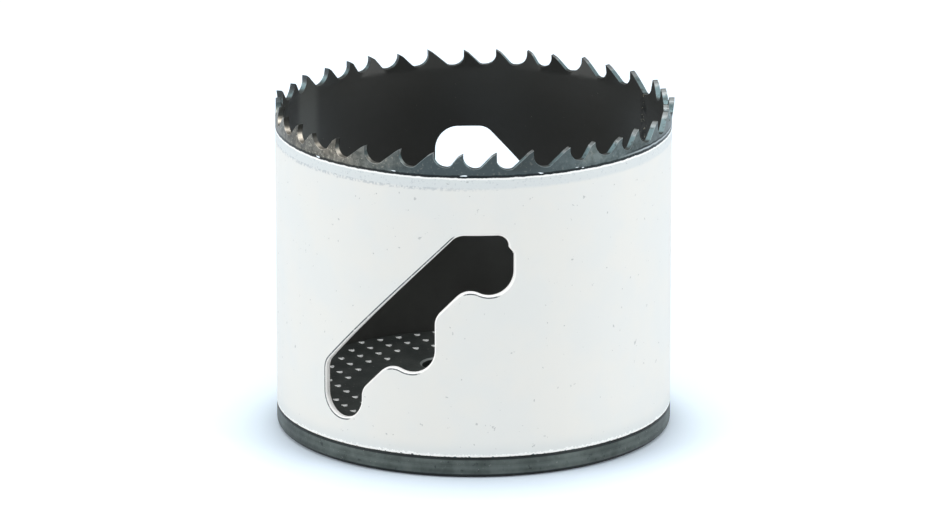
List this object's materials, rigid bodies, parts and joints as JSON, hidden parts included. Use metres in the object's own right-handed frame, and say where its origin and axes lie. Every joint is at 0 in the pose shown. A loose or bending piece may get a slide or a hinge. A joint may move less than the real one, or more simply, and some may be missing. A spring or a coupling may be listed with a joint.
{
  "type": "hole saw",
  "caption": "Thin toothed steel cup with two stair-step lever slots, on a thick steel end cap with a threaded arbor hole and drive pin holes",
  "frame": {"origin": "centre of the end cap's outer face, on the arbor axis", "axes": "+Z along the arbor axis towards the teeth, -Y through the middle of the front lever slot"},
  "size_m": [0.064, 0.064, 0.0532],
  "materials": {
    "painted_cup": "white enamel on the outside, bare at the teeth and inside",
    "cap_steel": "dark bare steel"
  },
  "bodies": {
    "root": {"saw_cup": "painted_cup", "end_cap": "cap_steel"}
  },
  "joints": []
}
